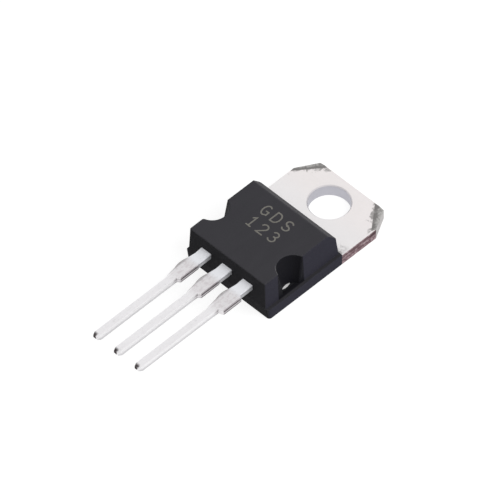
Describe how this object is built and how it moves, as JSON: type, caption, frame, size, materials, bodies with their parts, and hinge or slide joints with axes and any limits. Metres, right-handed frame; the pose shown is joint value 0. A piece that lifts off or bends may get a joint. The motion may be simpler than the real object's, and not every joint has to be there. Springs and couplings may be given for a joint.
{
  "type": "power mosfet",
  "caption": "Three-lead power transistor: black epoxy body moulded on a plated copper tab with a mounting hole, leads in line, for bolting to a heatsink.",
  "frame": {"origin": "where the mounting hole's axis meets the back (heatsink) face", "axes": "+X across the body from the gate lead to the source lead, +Y towards the end of the tab (leads point to -Y), +Z from the back face to the front face"},
  "size_m": [0.0102, 0.0291, 0.0044],
  "materials": {
    "plated_copper": "matte tin plate over copper, bare pinkish copper at the sheared edges of the tab",
    "solder": "dull grey solder",
    "silicon": "smooth dark silicon",
    "bond_wire": "bright drawn aluminium",
    "epoxy": "fine matte texture of a spark-eroded mould"
  },
  "bodies": {
    "root": {"drain_header": "plated_copper", "gate_lead": "plated_copper", "source_lead": "plated_copper", "die_solder": "solder", "mosfet_die": "silicon", "source_wire_a": "bond_wire", "source_wire_b": "bond_wire", "gate_wire": "bond_wire", "moulding": "epoxy"}
  },
  "joints": []
}
